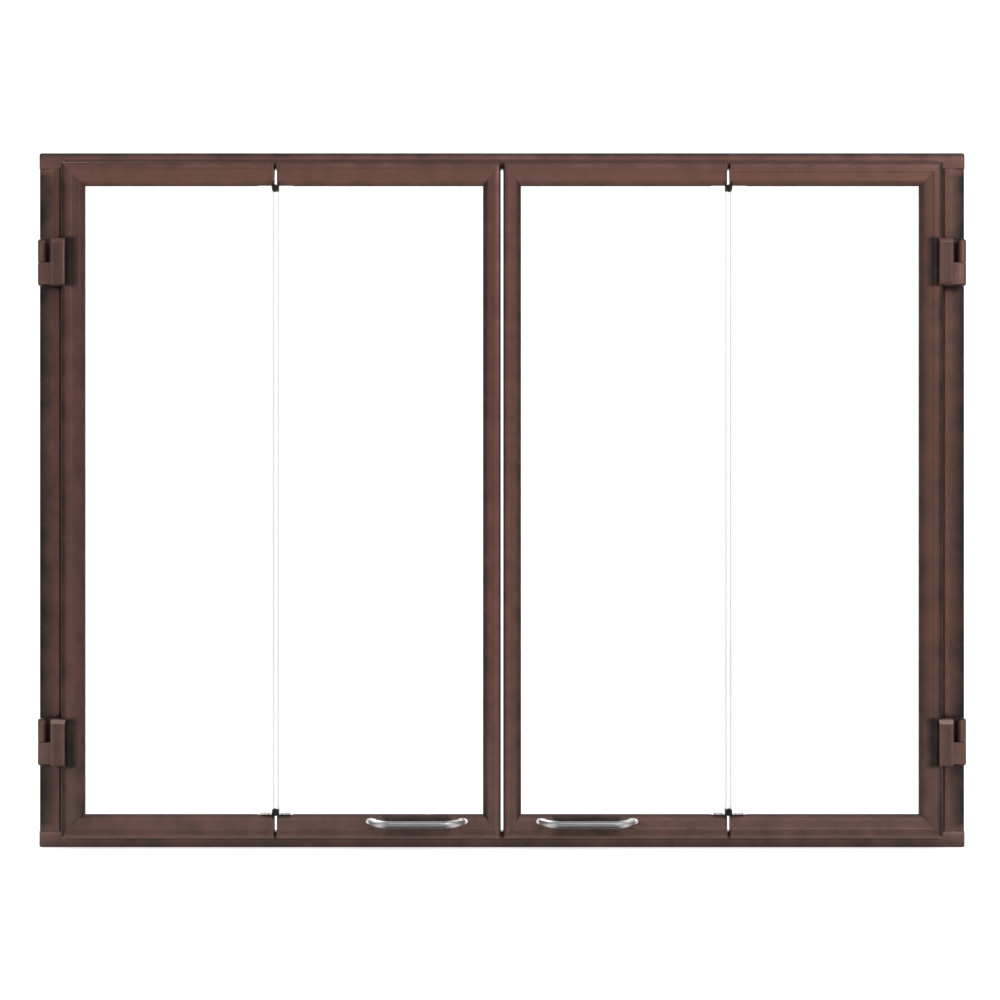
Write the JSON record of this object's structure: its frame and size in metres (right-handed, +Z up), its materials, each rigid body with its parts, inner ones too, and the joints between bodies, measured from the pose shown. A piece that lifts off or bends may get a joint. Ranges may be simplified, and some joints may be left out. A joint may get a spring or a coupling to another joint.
{
  "type": "fireplace glass door",
  "caption": "Overlay fireplace door set: a metal frame with two pairs of clear bi-fold glass panels on side hinges, bow handles and magnetic catches.",
  "frame": {"origin": "on the underside of the sill, at the middle of its width and of its depth, where the frame stands on the hearth", "axes": "+X to the right seen from the room, +Y from the room into the fireplace, +Z up"},
  "size_m": [1.016, 0.1127, 0.762],
  "materials": {
    "frame_bronze": "baked oil-rubbed bronze paint, satin",
    "door_bronze": "baked oil-rubbed bronze paint, satin",
    "hinge_bronze": "oil-rubbed bronze paint, satin",
    "bracket_steel": "black heat-resistant paint, matte",
    "zinc_steel": "zinc plated",
    "catch_housing": "moulded housing with steel pole plates",
    "handle_nickel": "brushed nickel",
    "clear_glass": "clear tempered glass, polished edges"
  },
  "bodies": {
    "frame": {"frame_head": "frame_bronze", "frame_sill": "frame_bronze", "frame_jamb_left": "frame_bronze", "corner_key_top_left": "zinc_steel", "mounting_bracket_top_left": "bracket_steel", "hinge_frame_leaf_top_left": "hinge_bronze", "corner_key_bottom_left": "zinc_steel", "mounting_bracket_bottom_left": "bracket_steel", "hinge_frame_leaf_bottom_left": "hinge_bronze", "magnet_catch_left": "catch_housing", "frame_jamb_right": "frame_bronze", "corner_key_top_right": "zinc_steel", "mounting_bracket_top_right": "bracket_steel", "hinge_frame_leaf_top_right": "hinge_bronze", "corner_key_bottom_right": "zinc_steel", "mounting_bracket_bottom_right": "bracket_steel", "hinge_frame_leaf_bottom_right": "hinge_bronze", "magnet_catch_right": "catch_housing"},
    "left_outer_panel": {"left_outer_hinge_stile": "door_bronze", "left_outer_top_rail": "door_bronze", "left_outer_bottom_rail": "door_bronze", "left_outer_glass": "clear_glass", "fold_leaf_outer_top_left": "hinge_bronze", "fold_pin_top_left": "hinge_bronze", "hinge_door_leaf_top_left": "hinge_bronze", "hinge_pin_top_left": "hinge_bronze", "fold_leaf_outer_bottom_left": "hinge_bronze", "fold_pin_bottom_left": "hinge_bronze", "hinge_door_leaf_bottom_left": "hinge_bronze", "hinge_pin_bottom_left": "hinge_bronze"},
    "left_inner_panel": {"left_inner_lead_stile": "door_bronze", "left_inner_top_rail": "door_bronze", "left_inner_bottom_rail": "door_bronze", "left_inner_glass": "clear_glass", "fold_leaf_inner_top_left": "hinge_bronze", "fold_leaf_inner_bottom_left": "hinge_bronze", "left_handle": "handle_nickel", "strike_plate_left": "zinc_steel"},
    "right_outer_panel": {"right_outer_hinge_stile": "door_bronze", "right_outer_top_rail": "door_bronze", "right_outer_bottom_rail": "door_bronze", "right_outer_glass": "clear_glass", "fold_leaf_outer_top_right": "hinge_bronze", "fold_pin_top_right": "hinge_bronze", "hinge_door_leaf_top_right": "hinge_bronze", "hinge_pin_top_right": "hinge_bronze", "fold_leaf_outer_bottom_right": "hinge_bronze", "fold_pin_bottom_right": "hinge_bronze", "hinge_door_leaf_bottom_right": "hinge_bronze", "hinge_pin_bottom_right": "hinge_bronze"},
    "right_inner_panel": {"right_inner_lead_stile": "door_bronze", "right_inner_top_rail": "door_bronze", "right_inner_bottom_rail": "door_bronze", "right_inner_glass": "clear_glass", "fold_leaf_inner_top_right": "hinge_bronze", "fold_leaf_inner_bottom_right": "hinge_bronze", "right_handle": "handle_nickel", "strike_plate_right": "zinc_steel"}
  },
  "joints": [
    {"name": "left_door_swing", "type": "hinge", "parent": "frame", "child": "left_outer_panel", "pos_m": [-0.502, -0.0222, 0.381], "axis": [0, 0, -1], "range_deg": [0, 120]},
    {"name": "left_fold", "type": "hinge", "parent": "left_outer_panel", "child": "left_inner_panel", "pos_m": [-0.2468, -0.0342, 0.381], "axis": [0, 0, -1], "range_deg": [0, 160]},
    {"name": "right_door_swing", "type": "hinge", "parent": "frame", "child": "right_outer_panel", "pos_m": [0.502, -0.0222, 0.381], "axis": [0, 0, 1], "range_deg": [0, 120]},
    {"name": "right_fold", "type": "hinge", "parent": "right_outer_panel", "child": "right_inner_panel", "pos_m": [0.2468, -0.0342, 0.381], "axis": [0, 0, 1], "range_deg": [0, 160]}
  ]
}
